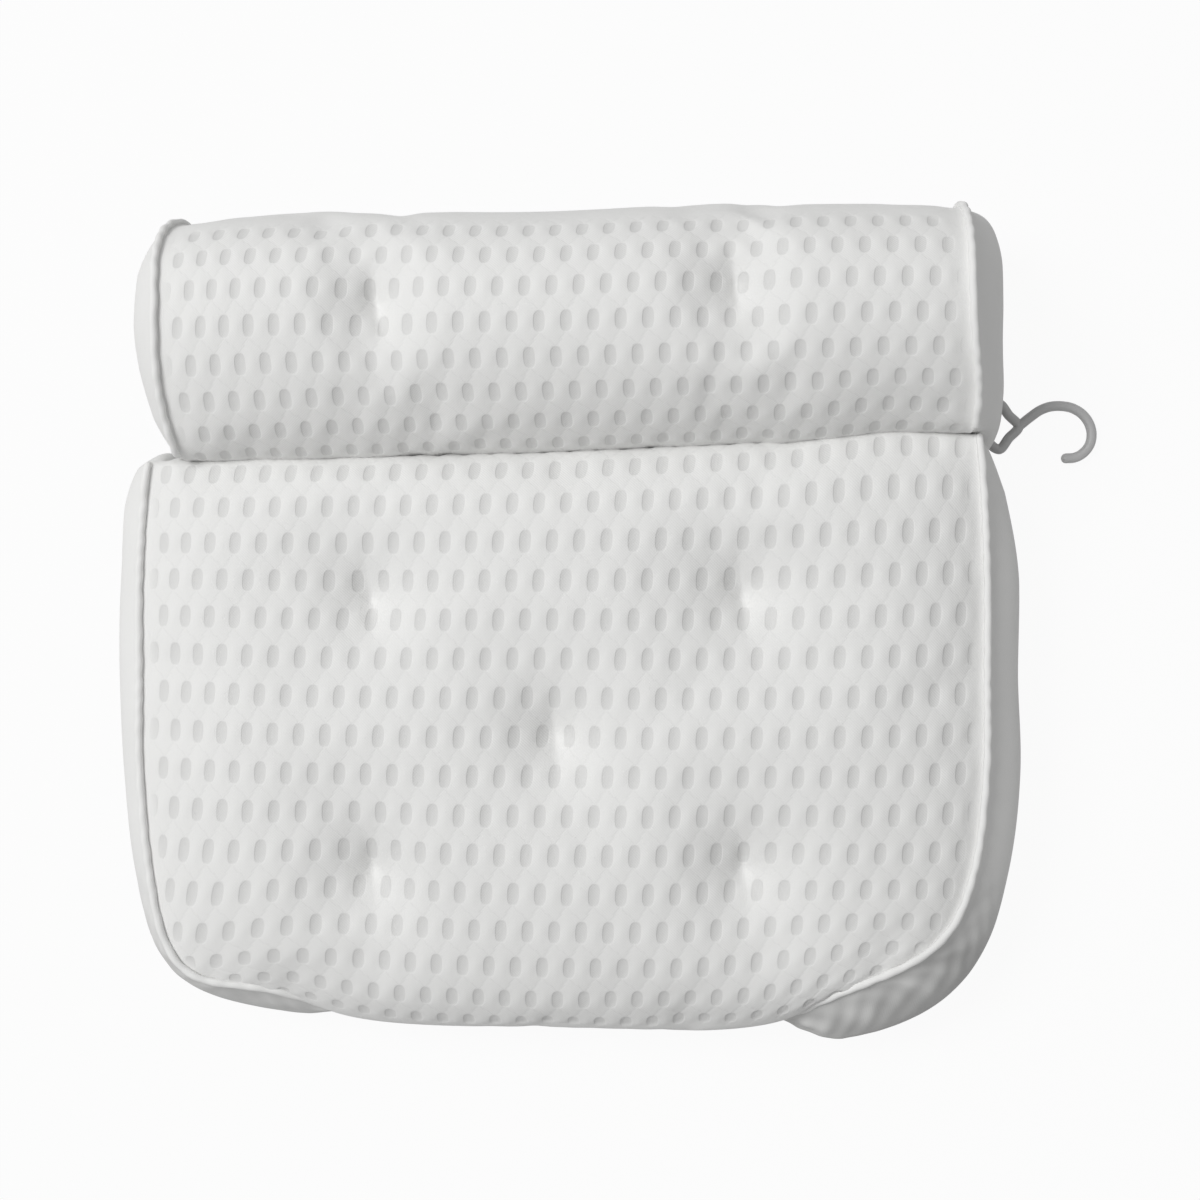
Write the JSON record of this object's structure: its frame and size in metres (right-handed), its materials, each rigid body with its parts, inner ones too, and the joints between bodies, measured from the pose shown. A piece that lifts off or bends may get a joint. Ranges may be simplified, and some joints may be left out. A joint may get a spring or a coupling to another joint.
{
  "type": "bath pillow",
  "caption": "Mesh-covered bath pillow: a tufted panel and a head roll joined by a sewn fold, with suction cups behind and a hanging hook.",
  "frame": {"origin": "middle of the underside of the whole part's box, on the surface that the suction cups lie on", "axes": "+X to the right as the picture shows it, +Y from the lower panel to the head roll, +Z out of the front, away from the bath wall"},
  "size_m": [0.4152, 0.3492, 0.0985],
  "materials": {
    "mesh_cloth": "soft matt white spacer mesh with rows of tall oval holes",
    "side_cloth": "smooth matt white knit",
    "piping_cloth": "soft white piping",
    "binding_cloth": "woven white tape",
    "filling": "lofted polyester fibre",
    "thread": "twisted polyester cord",
    "clear_rubber": "smooth translucent soft vinyl",
    "white_plastic": "moulded, satin gloss",
    "grey_plastic": "moulded grey, satin gloss"
  },
  "bodies": {
    "lower_panel": {"panel_front_cover": "mesh_cloth", "panel_back_cover": "side_cloth", "panel_right_gusset": "side_cloth", "panel_left_gusset": "side_cloth", "panel_right_piping": "piping_cloth", "panel_left_piping": "piping_cloth", "panel_fold_tape": "binding_cloth", "panel_edge_tape": "binding_cloth", "panel_filling": "filling", "panel_tuft_tie_1": "thread", "panel_eyelet_1": "white_plastic", "panel_tuft_tie_2": "thread", "panel_eyelet_2": "white_plastic", "panel_tuft_tie_3": "thread", "panel_eyelet_3": "white_plastic", "panel_tuft_tie_4": "thread", "panel_eyelet_4": "white_plastic", "panel_tuft_tie_5": "thread", "panel_eyelet_5": "white_plastic"},
    "head_roll": {"roll_front_cover": "mesh_cloth", "roll_back_cover": "side_cloth", "roll_right_gusset": "side_cloth", "roll_left_gusset": "side_cloth", "roll_right_piping": "piping_cloth", "roll_left_piping": "piping_cloth", "roll_fold_tape": "binding_cloth", "roll_edge_tape": "binding_cloth", "roll_filling": "filling", "roll_tuft_tie_1": "thread", "roll_eyelet_1": "white_plastic", "roll_tuft_tie_2": "thread", "roll_eyelet_2": "white_plastic", "hook_loop": "binding_cloth"},
    "hook_body": {"hook": "grey_plastic"},
    "panel_suction_cup_1_body": {"panel_suction_cup_1": "clear_rubber"},
    "panel_suction_cup_2_body": {"panel_suction_cup_2": "clear_rubber"},
    "panel_suction_cup_3_body": {"panel_suction_cup_3": "clear_rubber"},
    "panel_suction_cup_4_body": {"panel_suction_cup_4": "clear_rubber"},
    "panel_suction_cup_5_body": {"panel_suction_cup_5": "clear_rubber"},
    "roll_suction_cup_1_body": {"roll_suction_cup_1": "clear_rubber"},
    "roll_suction_cup_2_body": {"roll_suction_cup_2": "clear_rubber"}
  },
  "joints": [
    {"name": "fold", "type": "hinge", "parent": "lower_panel", "child": "head_roll", "pos_m": [-0.01884, 0.07143, 0.014], "axis": [1, 0, 0], "range_deg": [-90, 0]},
    {"name": "hook_swing", "type": "hinge", "parent": "head_roll", "child": "hook_body", "pos_m": [0.16116, 0.08293, 0.00365], "axis": [0, 1, 0], "range_deg": [-50, 100]},
    {"name": "panel_suction_cup_1_swivel", "type": "hinge", "parent": "lower_panel", "child": "panel_suction_cup_1_body", "pos_m": [-0.09672, 0.00781, 0.007], "axis": [0, 0, 1], "continuous": true},
    {"name": "panel_suction_cup_2_swivel", "type": "hinge", "parent": "lower_panel", "child": "panel_suction_cup_2_body", "pos_m": [0.05904, 0.00879, 0.007], "axis": [0, 0, 1], "continuous": true},
    {"name": "panel_suction_cup_3_swivel", "type": "hinge", "parent": "lower_panel", "child": "panel_suction_cup_3_body", "pos_m": [-0.01884, -0.04877, 0.007], "axis": [0, 0, 1], "continuous": true},
    {"name": "panel_suction_cup_4_swivel", "type": "hinge", "parent": "lower_panel", "child": "panel_suction_cup_4_body", "pos_m": [-0.09672, -0.1056, 0.007], "axis": [0, 0, 1], "continuous": true},
    {"name": "panel_suction_cup_5_swivel", "type": "hinge", "parent": "lower_panel", "child": "panel_suction_cup_5_body", "pos_m": [0.05904, -0.10363, 0.007], "axis": [0, 0, 1], "continuous": true},
    {"name": "roll_suction_cup_1_swivel", "type": "hinge", "parent": "head_roll", "child": "roll_suction_cup_1_body", "pos_m": [-0.09188, 0.1294, 0.007], "axis": [0, 0, 1], "continuous": true},
    {"name": "roll_suction_cup_2_swivel", "type": "hinge", "parent": "head_roll", "child": "roll_suction_cup_2_body", "pos_m": [0.0542, 0.13445, 0.007], "axis": [0, 0, 1], "continuous": true}
  ]
}
